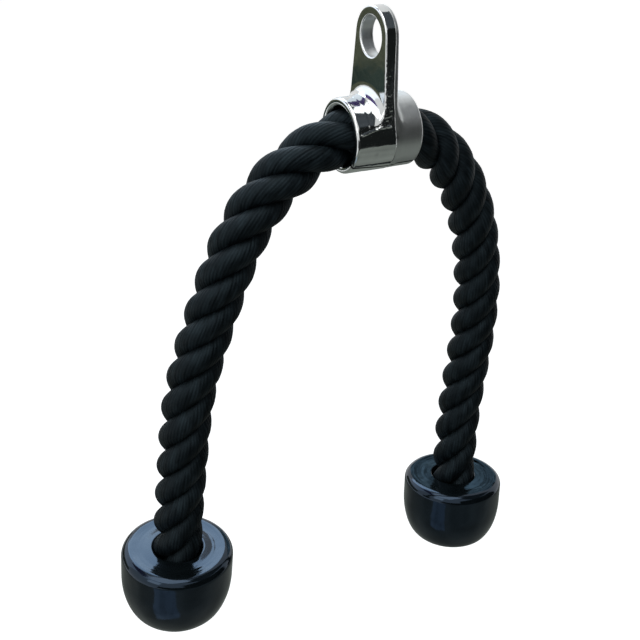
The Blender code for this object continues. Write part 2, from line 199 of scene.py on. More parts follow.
# Finishes. WAVES: wave size, pit size and the pits' share. ROUGH: what a pattern adds, and the least.
# BUMP: strength and height
ROPE_DARK = (0.0008, 0.0014, 0.0019)
ROPE_PALE = (0.0140, 0.0215, 0.0260)
ROPE_SHEEN = (0.62, 0.86, 1.0)
ROPE_SPECULAR = 0.16
ROPE_ROUGH = (0.30, 0.38)
ROPE_BUMP = (0.5, 0.25 * MM)
FIBRE_SCALE = 4200.0
FIBRE_STRETCH = 0.06
FIBRE_TONE = 0.7
FIBRE_HEIGHT = 0.6
PATCH_SCALE = 160.0
PATCH_TONE = 0.3
PATCH_HEIGHT = 0.4
YARN_TONE = 0.3
# Painted highlights (glints) on the yarn ridges, in patches: their contrast, middle and the tone they add
GLINT_CONTRAST = 5.0
GLINT_SHARE = 0.25
GLINT_TONE = 0.9
LEAST_TONE = 0.11
CHROME_WAVES = (7.0 * MM, 0.5 * MM, 0.05)
CHROME_SHADE = (0.01, 0.01, 0.012)
CHROME_DULL = (0.56, 0.58, 0.58)
CHROME_DULL_AT = 0.22
CHROME_BRIGHT = (0.66, 0.68, 0.68)
CHROME_ROUGH = (0.10, 0.05)
CHROME_BUMP = (0.25, 0.3 * MM)
SATIN_ROUGH = 0.32
AS_CAST_ROUGH = 0.10
RUBBER_SHEEN = (0.48, 0.69, 1.0)
RUBBER = {
    "waves": (9.0 * MM, 0.8 * MM, 0.03),
    "dark": (0.0025, 0.0040, 0.0050),
    "pale": (0.0055, 0.0085, 0.0100),
    "rough": (0.12, 0.05),
    "bump": (0.3, 0.6 * MM),
}
STEEL = {
    "waves": (3.0 * MM, 0.3 * MM, 0.3),
    "dark": (0.46, 0.46, 0.44),
    "pale": (0.62, 0.62, 0.60),
    "rough": (0.25, 0.22),
    "bump": (0.2, 0.1 * MM),
}

# The studio
WHITE = (1.0, 1.0, 1.0)
BLACK = (0.0, 0.0, 0.0)
FILL_LIGHT = 0.2
FLOOR_LEVEL = -0.75
FLOOR_HALF = 12.0
FLOOR_GREY = (0.60, 0.60, 0.60)
FLOOR_ROUGH = 0.9
FLOOR_GLOW = 0.85
SKY = (0.62, 0.82, 1.0)
OBJECT_MIDDLE = (0.0, 0.0, -0.18)
LEGS_MIDDLE = (-0.12, 0.0, -0.31)

# The tones of the room that chrome and rubber mirror
COLLAR_MIDDLE = (0.0, 0.0, -0.05)
DARK_ROOM = (0.012, 0.014, 0.014)
DARK_CEILING = (0.07, 0.08, 0.09)
DARK_FLOOR = (0.03, 0.032, 0.032)
GREY_FLOOR = (0.22, 0.24, 0.22)
OLIVE = (0.10, 0.11, 0.075)
DEEP_GREEN = (0.035, 0.055, 0.048)
VIOLET = (0.09, 0.06, 0.22)
BRIGHT_WALL = (1.6, 1.7, 1.85)
BRIGHT_WINDOW = (1.9, 2.0, 2.1)
SOFT_WINDOW = (0.33, 0.44, 0.56)
PALE_BLUE = (0.26, 0.42, 0.52)


class Nodes:
    """Adds nodes to one tree: a value that is a socket is linked, any other value is set."""

    def __init__(self, tree):
        self.tree = tree

    def feed(self, socket, value):
        if isinstance(value, bpy.types.NodeSocket):
            self.tree.links.new(value, socket)
        else:
            socket.default_value = value

    def fill(self, node, inputs):
        for name, value in inputs.items():
            self.feed(node.inputs[name], value)

    def add(self, kind, inputs=None, **settings):
        node = self.tree.nodes.new(kind)
        for name, value in settings.items():
            setattr(node, name, value)
        self.fill(node, inputs or {})
        return node

    def first(self, kind, inputs=None, **settings):
        """A new node's first output."""
        return self.add(kind, inputs, **settings).outputs[0]

    def math(self, operation, *values, clamp=False):
        inputs = dict(enumerate(values))
        return self.first("ShaderNodeMath", inputs, operation=operation, use_clamp=clamp)

    def swing(self, field, share, middle, clamp=False):
        """A middle value that a field from 0 to 1 pushes up and down."""
        return self.math("MULTIPLY_ADD", self.math("SUBTRACT", field, 0.5), share, middle, clamp=clamp)

    def vector(self, operation, *values):
        return self.first("ShaderNodeVectorMath", dict(enumerate(values)), operation=operation)

    def scaled(self, vector, factor):
        inputs = {0: vector, "Scale": factor}
        return self.first("ShaderNodeVectorMath", inputs, operation="SCALE")

    def capture(self, geometry, **fields):
        """Keeps fields, each given with its socket kind, on a geometry's points."""
        node = self.add("GeometryNodeCaptureAttribute", {"Geometry": geometry})
        for name, (kind, field) in fields.items():
            node.capture_items.new(kind, name)
            self.feed(node.inputs[name], field)
        return node.outputs

    def named(self, name):
        return self.first("GeometryNodeInputNamedAttribute", {"Name": name}, data_type="FLOAT")

    def store(self, geometry, name, kind, value):
        inputs = {"Geometry": geometry, "Name": name, "Value": value}
        return self.first("GeometryNodeStoreNamedAttribute", inputs, data_type=kind, domain="POINT")

    def painted(self, name, output="Fac"):
        return self.add("ShaderNodeAttribute", attribute_name=name).outputs[output]

    def ramp(self, factor, dark, pale, between=()):
        """A colour from dark to pale, with any stops between them given as a place and a colour."""
        node = self.add("ShaderNodeValToRGB", {"Fac": factor})
        stops = node.color_ramp.elements
        stops[0].color = (*dark, 1.0)
        stops[1].color = (*pale, 1.0)
        for place, colour in between:
            stops.new(place).color = (*colour, 1.0)
        return node.outputs["Color"]

    def bump(self, height, strength, distance):
        inputs = {"Strength": strength, "Distance": distance, "Height": height}
        return self.first("ShaderNodeBump", inputs)


def open_group(name, kind, inputs, outputs):
    """A node group's nodes, inputs and outputs. An input is given as its default or its kind of socket."""
    tree = bpy.data.node_groups.new(name, kind)
    for label, value in inputs.items():
        socket_kind = {int: "NodeSocketInt", float: "NodeSocketFloat"}.get(type(value), value)
        item = tree.interface.new_socket(label, in_out="INPUT", socket_type=socket_kind)
        if value != socket_kind:
            item.default_value = value
    for label, socket_kind in outputs.items():
        tree.interface.new_socket(label, in_out="OUTPUT", socket_type=socket_kind)
    nodes = Nodes(tree)
    given = nodes.add("NodeGroupInput").outputs
    result = nodes.add("NodeGroupOutput").inputs
    return nodes, given, result


def new_object(name, data):
    """An object linked to the scene."""
    item = bpy.data.objects.new(name, data)
    bpy.context.scene.collection.objects.link(item)
    return item


def mesh_of(bm, name):
    """A mesh made of a BMesh, which is freed."""
    mesh = bpy.data.meshes.new(name)
    bm.to_mesh(mesh)
    bm.free()
    return mesh


def applied(item, name):
    """The plain mesh that an object's modifiers make. The object is removed."""
    graph = bpy.context.evaluated_depsgraph_get()
    mesh = bpy.data.meshes.new_from_object(item.evaluated_get(graph))
    mesh.name = name
    bpy.data.objects.remove(item)
    return mesh


# The camera


def place_camera():
    """The photograph's viewpoint, with its image taken as 640 by 640."""
    sin_yaw, cos_yaw = math.sin(CAMERA_YAW), math.cos(CAMERA_YAW)
    sin_pitch, cos_pitch = math.sin(CAMERA_PITCH), math.cos(CAMERA_PITCH)
    forward = Vector((sin_yaw * cos_pitch, cos_yaw * cos_pitch, -sin_pitch))
    level = Vector((cos_yaw, -sin_yaw, 0.0))
    upright = level.cross(forward)
    image_right = level * math.cos(CAMERA_ROLL) + upright * math.sin(CAMERA_ROLL)
    image_up = upright * math.cos(CAMERA_ROLL) - level * math.sin(CAMERA_ROLL)
    data = bpy.data.cameras.new("photo_camera")
    data.sensor_width = SENSOR_WIDTH_MM
    data.lens = SENSOR_WIDTH_MM * FOCAL_LENGTH_PX / IMAGE_WIDTH
    data.clip_start = NEAREST_SEEN
    data.clip_end = FARTHEST_SEEN
    camera = new_object("photo_camera", data)
    turn = Matrix((image_right, image_up, -forward)).transposed()
    camera.matrix_world = Matrix.Translation(CAMERA_AT) @ turn.to_4x4()
    bpy.context.scene.camera = camera


# The rope's route


def smooth_line(guide):
    """A Catmull-Rom curve through the guide's points, from the first to the last but one."""
    before = [2 * guide[0] - guide[1]] + guide
    for a, b, c, d in zip(before, before[1:], before[2:], before[3:]):
        for i in range(ROUTE_STEPS):
            t = i / ROUTE_STEPS
            bend = (a * 2 - b * 5 + c * 4 - d) * t**2
            yield (b * 2 + (c - a) * t + bend + (b * 3 - a - c * 3 + d) * t**3) / 2
    yield guide[-2]


class Leg:
    """One leg's centreline, read by the rope's length from the collar's mouth."""

    def __init__(self, side, route, turns):
        self.turn_curve = np.polyfit(TURN_MARKS, turns, len(turns) - 1)
        mouth = Vector((side * COLLAR_HALF, 0.0, -EYE_TO_ROPE))
        inside = [Vector((0.0, 0.0, -EYE_TO_ROPE)), Vector((side * GRIP_HALF, 0.0, -EYE_TO_ROPE))]
        outside = [mouth + Vector((side * out, back, -down)) for out, down, back in route]
        guide = inside + outside
        guide.append(2 * guide[-1] - guide[-2])
        self.points = np.array(list(smooth_line(guide)))
        steps = np.linalg.norm(np.diff(self.points, axis=0), axis=1)
        self.along = np.concatenate([[0.0], np.cumsum(steps)])
        nearest = np.linalg.norm(self.points - np.array(outside[0]), axis=1).argmin()
        self.along -= self.along[nearest]
        self.seat_along = self.along[-1]
        self.seat = self.point(self.seat_along)
        self.up = (self.point(self.seat_along - SEAT_PROBE) - self.seat).normalized()
        self.end = self.seat_along + TAIL_LENGTH

    def point(self, along):
        """The centreline's point; past the cap's top it runs straight on down the cap's axis."""
        beyond = along - self.along[-1]
        if beyond > 0:
            return self.seat - self.up * beyond
        return Vector([np.interp(along, self.along, self.points[:, axis]) for axis in range(3)])

    def squeeze(self, along):
        """The rope's thickness, as a share: less in the collar's grip and in the crimped ferrule."""
        web_end = self.seat_along + CAP_WEB
        marks = [0.0, GRIP_EASE, web_end - CRIMP_TAPER, web_end]
        return float(np.interp(along, marks, [GRIPPED_SHARE, 1.0, 1.0, CRIMPED_SHARE]))

    def turn(self, along):
        """How many turns round the rope the first strand has made."""
        return float(np.polyval(self.turn_curve, along))

    def stretch(self, start, end):
        """Points from start to end."""
        count = max(2, round((end - start) / ROUTE_SPACING))
        return [self.point(along) for along in np.linspace(start, end, count + 1)]

    def laid_stretch(self, start, end):
        """Points from start to end, with the squeeze and the strand's turn at each."""
        points = self.stretch(start, end)
        alongs = np.linspace(start, end, len(points))
        return points, [self.squeeze(a) for a in alongs], [self.turn(a) for a in alongs]


# The laid rope, made by geometry nodes


def fluted_profile(nodes, given):
    """A strand's section: a circle with a low ridge for each yarn, some of them a little sunk."""
    count = nodes.math("MULTIPLY", given["Yarns"], given["Points per yarn"])
    radius = given["Strand radius"]
    circle = nodes.add("GeometryNodeCurvePrimitiveCircle", {"Resolution": count, "Radius": radius})
    factor = nodes.add("GeometryNodeSplineParameter").outputs["Factor"]
    turn = nodes.math("MULTIPLY", factor, given["Yarns"])
    ridge = nodes.math("ABSOLUTE", nodes.math("SINE", nodes.math("MULTIPLY", turn, math.pi)))
    yarn = nodes.math("FLOOR", nodes.math("ADD", turn, YARN_COUNT_GUARD))
    chance = nodes.first("ShaderNodeTexWhiteNoise", {"W": yarn}, noise_dimensions="1D")
    sunk = nodes.math("MULTIPLY", chance, given["Yarn unevenness"])
    sunk = nodes.math("MULTIPLY", sunk, ridge)
    flute = nodes.math("MULTIPLY", nodes.math("SUBTRACT", 1.0, ridge), given["Yarn ridge"])
    height = nodes.math("SUBTRACT", radius, nodes.math("ADD", sunk, flute))
    share = nodes.math("DIVIDE", height, radius)
    place = nodes.first("GeometryNodeInputPosition")
    kept = nodes.capture(
        circle.outputs["Curve"],
        round_place=("VECTOR", place),
        ridge=("FLOAT", ridge),
        chance=("FLOAT", chance),
    )
    moved = {"Geometry": kept[0], "Position": nodes.scaled(place, share)}
    return nodes.first("GeometryNodeSetPosition", moved), kept


def outward_direction(nodes, angle):
    """Which way a strand lies from the route, at an angle round it."""
    tangent = nodes.first("GeometryNodeInputTangent")
    level = nodes.vector("NORMALIZE", nodes.vector("CROSS_PRODUCT", tuple(ACROSS), tangent))
    over = nodes.vector("CROSS_PRODUCT", tangent, level)
    level_part = nodes.scaled(level, nodes.math("COSINE", angle))
    over_part = nodes.scaled(over, nodes.math("SINE", angle))
    return nodes.vector("ADD", level_part, over_part)


def strand_lines(nodes, given):
    """The strands' centrelines, wound round the route in a right-hand lay."""
    line = nodes.first("GeometryNodeMeshToCurve", {"Mesh": given["Geometry"]})
    spaced = {"Curve": line, "Length": given["Ring spacing"]}
    even = nodes.first("GeometryNodeResampleCurve", spaced, mode="LENGTH")
    copied = {"Geometry": even, "Amount": given["Strands"]}
    copies = nodes.add("GeometryNodeDuplicateElements", copied, domain="SPLINE").outputs
    length = nodes.add("GeometryNodeSplineParameter").outputs["Length"]
    turn = nodes.named("strand_turn")
    share = nodes.math("DIVIDE", copies["Duplicate Index"], given["Strands"])
    angle = nodes.math("MULTIPLY", nodes.math("ADD", turn, share), FULL_TURN)
    kept = nodes.capture(
        copies["Geometry"],
        outward=("VECTOR", outward_direction(nodes, angle)),
        along=("FLOAT", nodes.math("ADD", length, given["Start along"])),
        squeeze=("FLOAT", nodes.named("squeeze")),
        turn=("FLOAT", nodes.math("MULTIPLY", turn, FULL_TURN)),
    )
    reach = nodes.math("MULTIPLY", given["Strand offset"], kept["squeeze"])
    wound = {"Geometry": kept[0], "Offset": nodes.scaled(kept["outward"], reach)}
    moved = nodes.first("GeometryNodeSetPosition", wound)
    facing = {"Curve": moved, "Normal": kept["outward"]}
    faced = nodes.first("GeometryNodeSetCurveNormal", facing, mode="FREE")
    twist = nodes.math("MULTIPLY", kept["turn"], given["Yarn twist"])
    tilted = nodes.add("GeometryNodeSetCurveTilt", {"Curve": faced, "Tilt": twist})
    return tilted.outputs["Curve"], kept


def swollen(nodes, skin, given):
    """The strands' skin, a little thicker and thinner along the rope."""
    wave = nodes.add("ShaderNodeTexNoise", {"Scale": 90.0, "Detail": 2.0, "Roughness": 0.6})
    swell = nodes.math("SUBTRACT", wave.outputs[0], 0.5)
    swell = nodes.math("MULTIPLY", swell, given["Strand unevenness"])
    normal = nodes.first("GeometryNodeInputNormal")
    moved = {"Geometry": skin, "Offset": nodes.scaled(normal, swell)}
    return nodes.first("GeometryNodeSetPosition", moved)


def laid_rope_tree():
    """Strands of yarns laid round a route, whose points carry the squeeze and the turn."""
    inputs = {
        "Geometry": "NodeSocketGeometry",
        "Strands": STRANDS,
        "Strand radius": STRAND_RADIUS,
        "Strand offset": STRAND_OFFSET,
        "Start along": 0.0,
        "Yarns": YARNS_PER_STRAND,
        "Points per yarn": POINTS_PER_YARN,
        "Yarn ridge": YARN_RIDGE,
        "Yarn unevenness": YARN_UNEVENNESS,
        "Yarn twist": YARN_TWIST,
        "Strand unevenness": STRAND_UNEVENNESS,
        "Ring spacing": RING_SPACING,
        "Material": "NodeSocketMaterial",
    }
    outputs = {"Geometry": "NodeSocketGeometry"}
    nodes, given, result = open_group("laid rope", "GeometryNodeTree", inputs, outputs)
    profile, around = fluted_profile(nodes, given)
    strands, kept = strand_lines(nodes, given)
    drawn = {"Curve": strands, "Profile Curve": profile, "Scale": kept["squeeze"], "Fill Caps": True}
    skin = nodes.first("GeometryNodeCurveToMesh", drawn)
    rope = swollen(nodes, skin, given)
    split = nodes.add("ShaderNodeSeparateXYZ", {"Vector": around["round_place"]}).outputs
    space = nodes.add("ShaderNodeCombineXYZ", {"X": split[0], "Y": split[1], "Z": kept["along"]})
    rope = nodes.store(rope, "yarn_space", "FLOAT_VECTOR", space.outputs[0])
    rope = nodes.store(rope, "yarn_ridge", "FLOAT", around["ridge"])
    rope = nodes.store(rope, "yarn_chance", "FLOAT", around["chance"])
    smooth = nodes.first("GeometryNodeSetShadeSmooth", {"Geometry": rope, "Shade Smooth": True})
    real = nodes.first("GeometryNodeRealizeInstances", {"Geometry": smooth})
    dress = {"Geometry": real, "Material": given["Material"]}
    nodes.feed(result["Geometry"], nodes.first("GeometryNodeSetMaterial", dress))
    return nodes.tree


def grown(name, host_mesh, tree, values):
    """The plain mesh that a geometry nodes tree makes of a host mesh, as a new object."""
    host = new_object(f"{name}_host", host_mesh)
    modifier = host.modifiers.new("make", "NODES")
    modifier.node_group = tree
    for item in tree.interface.items_tree:
        if item.in_out == "INPUT" and item.name in values:
            modifier[item.identifier] = values[item.name]
    mesh = applied(host, name)
    bpy.data.meshes.remove(host_mesh)
    return new_object(name, mesh)


def rope_piece(name, tree, points, squeezes, turns, start, material):
    """Laid rope along some points, with the squeeze and the turn at each."""
    mesh = bpy.data.meshes.new(f"{name}_route")
    mesh.from_pydata(points, [(i, i + 1) for i in range(len(points) - 1)], [])
    paint(mesh, "squeeze", squeezes)
    paint(mesh, "strand_turn", turns)
    piece = grown(name, mesh, tree, {"Start along": start, "Material": material})
    return piece


def part_of(whole, name, keep):
    """A copy of a rope with only the faces whose rope length keep accepts, and its cut closed."""
    bm = bmesh.new()
    bm.from_mesh(whole.data)
    space = bm.verts.layers.float_vector["yarn_space"]
    away = [f for f in bm.faces if not keep(sum(v[space].z for v in f.verts) / len(f.verts))]
    bmesh.ops.delete(bm, geom=away, context="FACES")
    cut = [edge for edge in bm.edges if edge.is_boundary]
    for edge in cut:
        edge.smooth = False
    bmesh.ops.holes_fill(bm, edges=cut, sides=0)
    mesh = mesh_of(bm, name)
    for material in whole.data.materials:
        mesh.materials.append(material)
    part = new_object(name, mesh)
    return part


def make_rope(side, leg, tree, material):
    """One side's rope, cut at one ring into the neck and the hanging leg."""
    laid = leg.laid_stretch(-GRIP_HALF, leg.end)
    whole = rope_piece(f"{side}_rope", tree, *laid, -GRIP_HALF, material)
    neck = part_of(whole, f"{side}_neck_rope", lambda along: along <= NECK_LENGTH)
    hanging = part_of(whole, f"{side}_leg_rope", lambda along: along > NECK_LENGTH)
    bpy.data.objects.remove(whole)
    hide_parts(f"{side}_rope_neck")
    leg.point(NECK_BEND_START)
    leg.point(NECK_BEND_END)
    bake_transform(neck)
    stretches = ["upper", "lower", "tail"]
    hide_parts(*[f"{side}_rope_{stretch}" for stretch in stretches])
    leg.point(LEG_BEND_START)
    leg.point(LEG_BEND_END)
    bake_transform(hanging)
    return neck, hanging


def make_core_rope(legs, tree, material):
    """The rope held in the collar, whose strands meet those of both necks."""
    first = 0.5 - legs["left"].turn(-GRIP_HALF)
    last = legs["right"].turn(-GRIP_HALF)
    third = 1 / STRANDS
    usual = 2 * GRIP_HALF * np.polyder(legs["right"].turn_curve)[-1]
    last = first + usual + (last - first - usual + third / 2) % third - third / 2
    count = round(2 * GRIP_HALF / ROUTE_SPACING)
    points = [Vector((x, 0.0, -EYE_TO_ROPE)) for x in np.linspace(-GRIP_HALF, GRIP_HALF, count + 1)]
    squeezes = [GRIPPED_SHARE] * len(points)
    turns = np.linspace(first, last, len(points))
    core = rope_piece("core_rope", tree, points, squeezes, turns, 0.0, material)
    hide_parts("rope_in_clamp")
    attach(core, "clamp")


# The clamp casting, found as the surface where a distance function is zero


def rise(value, start, width):
    """0 up to a start, then evenly up to 1 over a width."""
    return np.clip((value - start) / width, 0, 1)


def step_across(offset, width):
    """0 on one side and 1 on the other, evenly over a width."""
    return np.clip(offset / width + 0.5, 0, 1)


def round_union(a, b, radius):
    """The distance to two joined forms with a fillet between them."""
    inner = np.hypot(np.maximum(radius - a, 0), np.maximum(radius - b, 0))
    return np.maximum(radius, np.minimum(a, b)) - inner


def round_cut(a, b, radius):
    """The distance to what two forms share, with a rounded edge where they cross."""
    outer = np.hypot(np.maximum(radius + a, 0), np.maximum(radius + b, 0))
    return np.minimum(-radius, np.maximum(a, b)) + outer


def lug_outline(y, z):
    """Distance in the lug's plane to its outline: two rounds and the lines that touch both."""
    low_radius = COLLAR_RADIUS - LUG_SINK
    lean = (low_radius - EYE_RADIUS) / EYE_TO_ROPE
    level = math.sqrt(1 - lean * lean)
    wide = np.abs(y)
    high = z + EYE_TO_ROPE
    place = high * level - wide * lean
    flank = wide * level + high * lean - low_radius
    top = np.hypot(wide, high - EYE_TO_ROPE) - EYE_RADIUS
    foot = np.hypot(wide, high) - low_radius
    return np.where(place < 0, foot, np.where(place > level * EYE_TO_ROPE, top, flank))


def parting_offset(x, z):
    """How far a point is to the right of the mould's parting line."""
    return x - np.interp(z, PARTING_HEIGHTS, PARTING_PLACES)


def foot_ridge(x, y, z):
    """The low crease that runs from the lug's foot along the front of the collar."""
    angle = np.arctan2(z + EYE_TO_ROPE, -y)
    line = np.interp(x, RIDGE_ENDS, RIDGE_ANGLES)
    off = (angle - line) * COLLAR_RADIUS / RIDGE_WIDTH
    ends = rise(x, RIDGE_ENDS[0], RIDGE_FADE) * rise(-x, -RIDGE_STOP, RIDGE_FADE)
    return RIDGE_HEIGHT * np.exp(-off * off) * ends


def casting_distance(points):
    """Distance to the casting: the lug and its eye, the collar, their marks and the flared bore."""
    x, y, z = points[..., 0], points[..., 1], points[..., 2]
    parting = parting_offset(x, z)
    shifted = y - MOULD_SHIFT * step_across(parting, PARTING_WIDTH)
    rho = np.hypot(shifted, z + EYE_TO_ROPE)
    faces = round_union(np.abs(x) - LUG_HALF, rho - COLLAR_RADIUS + LUG_SINK, LUG_FILLET)
    lug = round_cut(lug_outline(shifted, z), faces, LUG_EDGE_ROUND)
    lug = round_cut(lug, EYE_HOLE_RADIUS - np.hypot(y, z), EYE_EDGE_ROUND)
    lug = np.maximum(lug, np.abs(x) - LUG_HALF - LUG_FILLET - LUG_FILLET_TRIM)
    collar = round_cut(rho - COLLAR_RADIUS, np.abs(x) - COLLAR_HALF, COLLAR_LIP_ROUND)
    outside = round_union(lug, collar, FOOT_BLEND)
    outside = outside - foot_ridge(x, y, z) - PARTING_FLASH * np.exp(-((parting / PARTING_WIDTH) ** 2))
    flare = np.clip((np.abs(x) - GRIP_HALF) / MOUTH_FLARE, 0, MOUTH_FLARE_LIMIT)
    bore = MOUTH_RADIUS - (MOUTH_RADIUS - GRIP_RADIUS) * np.sqrt(1 - flare * flare)
    return round_cut(outside, bore - np.hypot(y, z + EYE_TO_ROPE), MOUTH_EDGE_ROUND)


def edge_crossings(values, grid, axis, cell):
    """Which grid edges along an axis the surface crosses, which of them run outwards, and where."""
    count = values.shape[axis] - 1
    before = np.take(values, range(count), axis=axis)
    after = np.take(values, range(1, count + 1), axis=axis)
    crossed = (before < 0) != (after < 0)
    share = np.where(crossed, before / np.where(crossed, before - after, 1.0), 0.0)
    place = np.take(grid, range(count), axis=axis)
    place[..., axis] += share * cell
    return crossed, before < 0, place * crossed[..., None]


def shifted_window(axis, offsets, cells):
    """A slice of the edges along an axis, some cells over in the two other directions."""
    window = [slice(None)] * 3
    for other, offset in enumerate(offsets, start=axis + 1):
        window[other % 3] = slice(offset, offset + cells[other % 3])
    return tuple(window)


def crossing_quads(axis, crossed, outward, ids):
    """A quad of the four cells round each crossed edge along an axis, facing outwards."""
    edges = np.argwhere(crossed)
    corners = []
    for offsets in ((1, 1), (0, 1), (0, 0), (1, 0)):
        corner = edges.copy()
        for other, offset in enumerate(offsets, start=axis + 1):
            corner[:, other % 3] -= offset
        corners.append(ids[tuple(corner.T)])
    faces = np.stack(corners, axis=1)
    return np.where(outward[tuple(edges.T)][:, None], faces, faces[:, ::-1])


def surface_net(distance, low, high, cell):
    """Points and quads where the distance is zero: one point in each cell it crosses."""
    axes = [np.arange(a, b + cell, cell) for a, b in zip(low, high)]
    grid = np.stack(np.meshgrid(*axes, indexing="ij"), axis=-1)
    values = distance(grid)
    cells = tuple(n - 1 for n in values.shape)
    total = np.zeros((*cells, 3))
    count = np.zeros(cells)
    crossings = []
    for axis in range(3):
        crossed, outward, place = edge_crossings(values, grid, axis, cell)
        crossings.append((crossed, outward))
        for offsets in ((0, 0), (0, 1), (1, 0), (1, 1)):
            window = shifted_window(axis, offsets, cells)
            total += place[window]
            count += crossed[window]
    used = count > 0
    ids = np.full(cells, -1)
    ids[used] = np.arange(used.sum())
    quads = [crossing_quads(axis, *crossing, ids) for axis, crossing in enumerate(crossings)]
    return total[used] / count[used][:, None], np.concatenate(quads)


def pull_to_surface(points, distance):
    """One Newton step on to the surface, and the outward normals there."""
    slope = np.empty_like(points)
    for axis in range(3):
        step = np.zeros(3)
        step[axis] = SLOPE_REACH
        slope[:, axis] = (distance(points + step) - distance(points - step)) / (2 * SLOPE_REACH)
    size = np.maximum((slope * slope).sum(axis=1, keepdims=True), LEAST_SLOPE)
    move = distance(points)[:, None] * slope / size
    return points - np.clip(move, -LONGEST_PULL, LONGEST_PULL), slope / np.sqrt(size)


def relax(points, quads):
    """Each point at the mean of the middles of the faces round it."""
    middles = points[quads].mean(axis=1)
    count = np.bincount(quads.ravel(), minlength=len(points))
    out = np.empty_like(points)
    for axis in range(3):
        weights = np.repeat(middles[:, axis], 4)
        out[:, axis] = np.bincount(quads.ravel(), weights=weights, minlength=len(points)) / count
    return out


def as_cast_share(points, normals):
    """How rough the casting was left: only on the lug's front edge, left of the parting line."""
    x, z = points[:, 0], points[:, 2]
    front = rise(-normals[:, 1], *ROUGH_FACING)
    left = rise(-parting_offset(x, z), *ROUGH_LEFT)
    below = rise(-z, *ROUGH_BELOW)
    above = rise(z, *ROUGH_ABOVE)
    reach = np.interp(z, ROUGH_HEIGHTS, ROUGH_REACHES)
    return front * left * below * above * rise(reach + x, 0.0, ROUGH_REACH_EASE)


def cast_surface():
    """The casting's points and quads before it is split, with the rough edge raised."""
    low = [-COLLAR_HALF, -COLLAR_RADIUS - MOULD_SHIFT, -EYE_TO_ROPE - COLLAR_RADIUS]
    high = [COLLAR_HALF, COLLAR_RADIUS + MOULD_SHIFT, EYE_RADIUS]
    low = [value - CASTING_MARGIN for value in low]
    high = [value + CASTING_MARGIN for value in high]
    points, quads = surface_net(casting_distance, low, high, CASTING_CELL)
    for _ in range(CASTING_ROUNDS):
        points, normals = pull_to_surface(relax(points, quads), casting_distance)
    for _ in range(CASTING_ROUNDS):
        points, normals = pull_to_surface(points, casting_distance)
    share = as_cast_share(points, normals)
    bumps = np.zeros(len(points))
    for i in np.flatnonzero(share):
        bumps[i] = noise.fractal(Vector(points[i] / CAST_BUMP_SIZE), *CAST_BUMP_LAYERS)
    points += normals * (bumps * share * CAST_BUMP)[:, None]
    return points, quads


def split_cutter():
    """A thin band out through the collar, where the strap's two edges were crimped together."""
    half = SPLIT_WIDTH / 2
    outline = [(x, side - half) for x, side in SPLIT_LINE]
    outline += [(x, side + half) for x, side in reversed(SPLIT_LINE)]
    bm = bmesh.new()
    face = bm.faces.new([bm.verts.new((x, SPLIT_INNER, side)) for x, side in outline])
    pushed = bmesh.ops.extrude_face_region(bm, geom=[face])["geom"]
    moved = [item for item in pushed if isinstance(item, bmesh.types.BMVert)]
    bmesh.ops.translate(bm, verts=moved, vec=(0.0, SPLIT_OUTER - SPLIT_INNER, 0.0))
    bmesh.ops.recalc_face_normals(bm, faces=bm.faces)
    mesh = mesh_of(bm, "split_cutter")
    turn = Matrix.Rotation(SPLIT_ANGLE, 4, "X")
    mesh.transform(Matrix.Translation((0.0, 0.0, -EYE_TO_ROPE)) @ turn)
    return new_object("split_cutter", mesh)


def split_casting(points, quads):
    """The casting's mesh with the crimped split cut through its collar."""
    mesh = bpy.data.meshes.new("clamp")
    mesh.from_pydata(points.tolist(), [], quads.tolist())
    solid = new_object("clamp_solid", mesh)
    cutter = split_cutter()
    cut = solid.modifiers.new("split", "BOOLEAN")
    cut.operation = "DIFFERENCE"
    cut.solver = "MANIFOLD"
    cut.object = cutter
    final = applied(solid, "clamp")
    bpy.data.objects.remove(cutter)
    return final


def split_shade(points):
    """1 on the split's lips and inside it, falling to 0 a little way off."""
    turn = Matrix.Rotation(-SPLIT_ANGLE, 3, "X")
    local = (points + np.array([0.0, 0.0, EYE_TO_ROPE])) @ np.array(turn).T
    along, sideways = zip(*SPLIT_LINE)
    off = np.abs(local[:, 2] - np.interp(local[:, 0], along, sideways)) - SPLIT_WIDTH / 2
    return np.clip(1.0 - off / SPLIT_SHADE, 0, 1) * (local[:, 1] > 0)


def paint(mesh, name, values):
    """One number for each of a mesh's points."""
    attribute = mesh.attributes.new(name, "FLOAT", "POINT")
    attribute.data.foreach_set("value", np.asarray(values, np.float32))


def paint_casting(mesh):
    """Marks where the casting is rough, satin, or dark beside its split."""
    places = np.array([v.co for v in mesh.vertices])
    facing = np.array([v.normal for v in mesh.vertices])
    right = step_across(parting_offset(places[:, 0], places[:, 2]), SATIN_EASE)
    hole = np.hypot(places[:, 1], places[:, 2]) < EYE_HOLE_RADIUS + EYE_SATIN_MARGIN
    paint(mesh, "as_cast", as_cast_share(places, facing))
    paint(mesh, "satin", np.maximum(right, hole))
    paint(mesh, "split_shade", split_shade(places))


def make_casting(material):
    """The clamp: collar, lug and eye in one casting, with its marks and its crimped split."""
    mesh = split_casting(*cast_surface())
    mesh.shade_smooth()
    mesh.set_sharp_from_angle(angle=CASTING_SHARP_ANGLE)
    paint_casting(mesh)
    mesh.materials.clear()
    mesh.materials.append(material)
    casting = new_object("clamp_body", mesh)
    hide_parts("clamp_casting")
    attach(casting, "clamp")


# The end caps


def arc(centre, radius, start, end, steps):
    """Points on an arc, both ends included. The radius is one number or one for each axis."""
    wide, high = radius if isinstance(radius, tuple) else (radius, radius)
    angles = [math.radians(start + (end - start) * i / steps) for i in range(steps + 1)]
    return [(centre[0] + wide * math.cos(a), centre[1] + high * math.sin(a)) for a in angles]


def line(start, end, steps):
    """Points between two ends, neither included."""
    return [
        (start[0] + (end[0] - start[0]) * i / steps, start[1] + (end[1] - start[1]) * i / steps)
        for i in range(1, steps)
    ]


